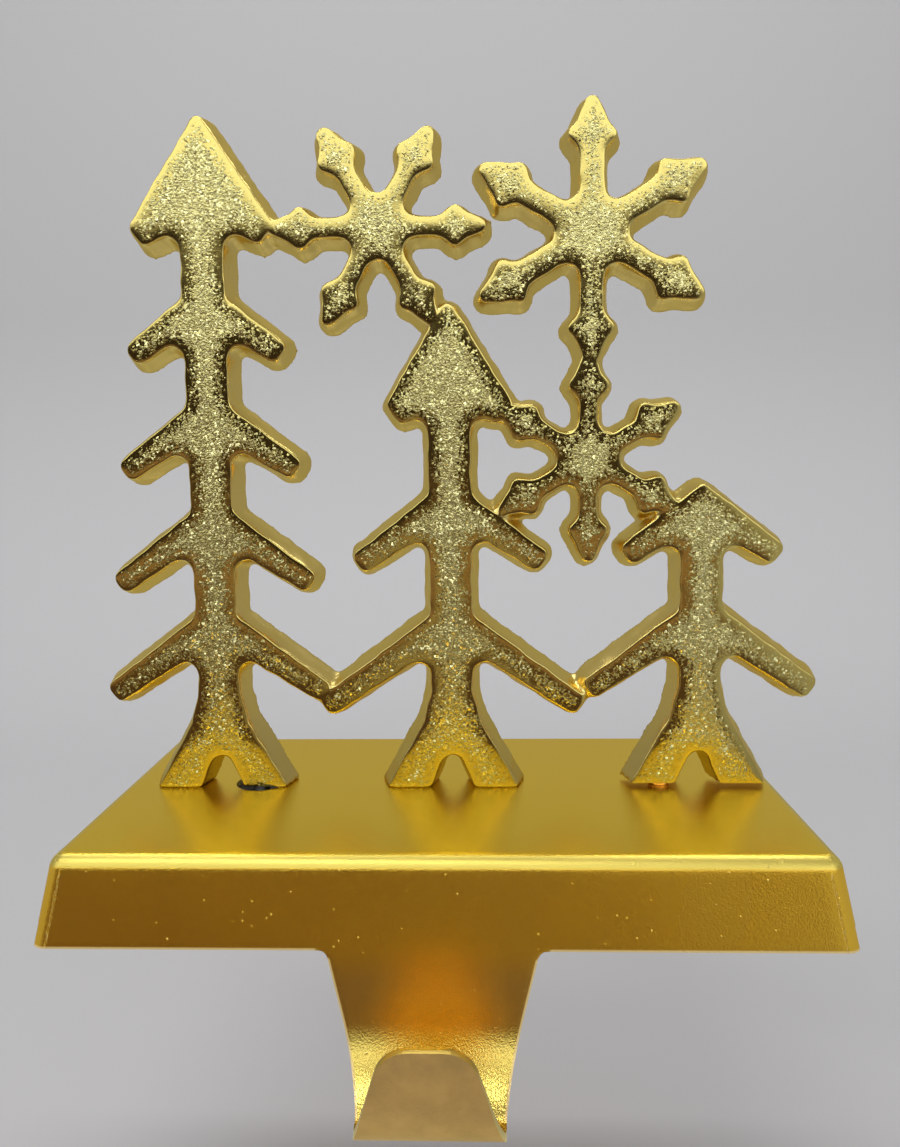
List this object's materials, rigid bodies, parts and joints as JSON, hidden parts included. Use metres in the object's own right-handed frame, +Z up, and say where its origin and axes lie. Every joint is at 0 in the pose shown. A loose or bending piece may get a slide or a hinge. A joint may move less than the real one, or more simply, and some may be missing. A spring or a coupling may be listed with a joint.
{
  "type": "mantel stocking holder",
  "caption": "Mantel stocking holder: a cast openwork ornament of fir trees and snowflakes screwed to a folded sheet tray, whose front flange runs down into a bent hook.",
  "frame": {"origin": "on the shelf's top front edge, at the middle of the tray's width; the side and back flanges stand on the plane z = 0 behind it", "axes": "+X along the shelf's edge, to the right seen from the front, +Y over the shelf towards the wall, +Z up"},
  "size_m": [0.1794, 0.1179, 0.2139],
  "materials": {
    "cast_gold": "gold lacquer over a granular sand casting, with the edges polished",
    "tray_gold": "satin gold lacquer on sheet steel",
    "zinc_steel": "zinc plated",
    "copper_collar": "bright copper colour"
  },
  "bodies": {
    "root": {"base_tray": "tray_gold", "ornament_casting": "cast_gold", "left_washer": "zinc_steel", "right_washer": "zinc_steel", "foot_collar": "copper_collar", "left_screw": "zinc_steel", "right_screw": "zinc_steel"}
  },
  "joints": []
}
